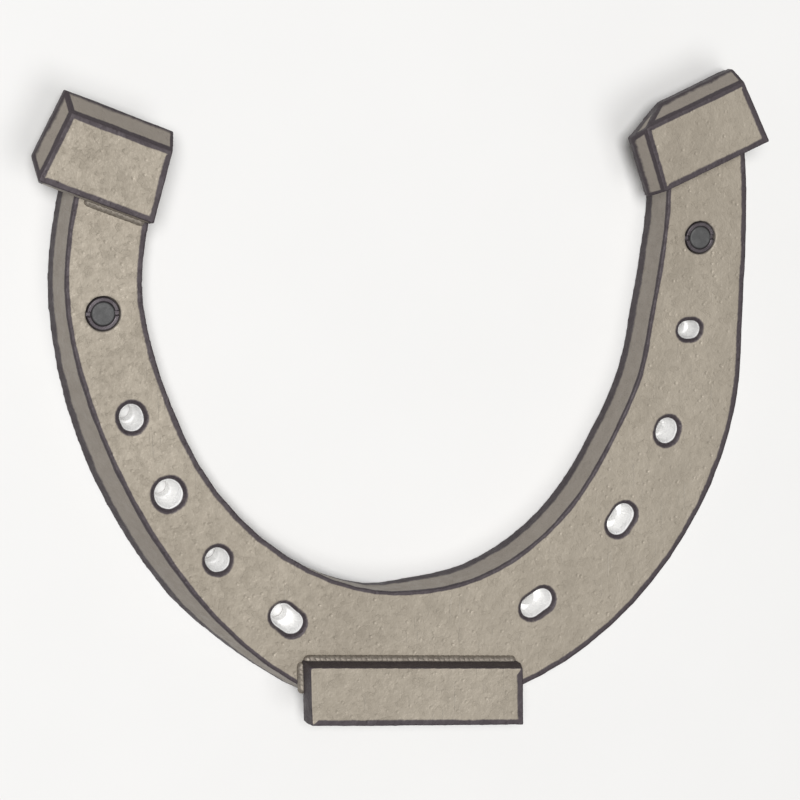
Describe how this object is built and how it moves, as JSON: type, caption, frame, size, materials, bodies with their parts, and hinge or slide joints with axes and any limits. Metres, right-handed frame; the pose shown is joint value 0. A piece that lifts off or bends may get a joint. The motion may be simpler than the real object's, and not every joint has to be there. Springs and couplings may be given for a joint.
{
  "type": "horseshoe",
  "caption": "Heavy forged horseshoe with a bar-shaped toe calk, block heel calks, punched nail holes and screw-in road studs.",
  "frame": {"origin": "on the plane of the hoof face, at the centre of the shoe's overall length and width", "axes": "+Z from the hoof face towards the ground face and the calks, -Y towards the toe, +Y towards the heels, +X to the right with the ground face towards the viewer and the heels up"},
  "size_m": [0.2052, 0.1805, 0.021],
  "materials": {
    "forged_steel": "forged, matte, taupe oxide with darker edges",
    "calk_steel": "forged and ground, matte, taupe oxide with darker edges",
    "weld_metal": "dark oxidised weld bead",
    "stud_steel": "blackened, machined",
    "hard_metal": "sintered, dark grey, smooth"
  },
  "bodies": {
    "shoe": {"shoe": "forged_steel", "toe_calk": "calk_steel", "left_heel_calk": "calk_steel", "right_heel_calk": "calk_steel", "toe_calk_weld": "weld_metal", "toe_calk_left_end_weld": "weld_metal", "toe_calk_right_end_weld": "weld_metal", "left_heel_calk_weld": "weld_metal", "left_heel_calk_under_weld": "weld_metal", "right_heel_calk_weld": "weld_metal", "right_heel_calk_under_weld": "weld_metal"},
    "left_stud_lift_body": {"left_stud_core": "hard_metal"},
    "left_stud_turn_body": {"left_stud_sleeve": "stud_steel"},
    "right_stud_lift_body": {"right_stud_core": "hard_metal"},
    "right_stud_turn_body": {"right_stud_sleeve": "stud_steel"}
  },
  "joints": [
    {"name": "left_stud_lift", "type": "slide", "parent": "shoe", "child": "left_stud_lift_body", "axis": [0, 0, 1], "range_m": [0, 0.00937]},
    {"name": "left_stud_turn", "type": "hinge", "parent": "left_stud_lift_body", "child": "left_stud_turn_body", "pos_m": [-0.08412, 0.03047, 0.013], "axis": [0, 0, 1], "range_deg": [0, 2700]},
    {"name": "right_stud_lift", "type": "slide", "parent": "shoe", "child": "right_stud_lift_body", "axis": [0, 0, 1], "range_m": [0, 0.00937]},
    {"name": "right_stud_turn", "type": "hinge", "parent": "right_stud_lift_body", "child": "right_stud_turn_body", "pos_m": [0.08554, 0.04353, 0.013], "axis": [0, 0, 1], "range_deg": [0, 2700]}
  ],
  "couplings": [
    {"joint": "left_stud_turn", "follows": "left_stud_lift", "rad_per_m": 5026.5},
    {"joint": "right_stud_turn", "follows": "right_stud_lift", "rad_per_m": 5026.5}
  ]
}
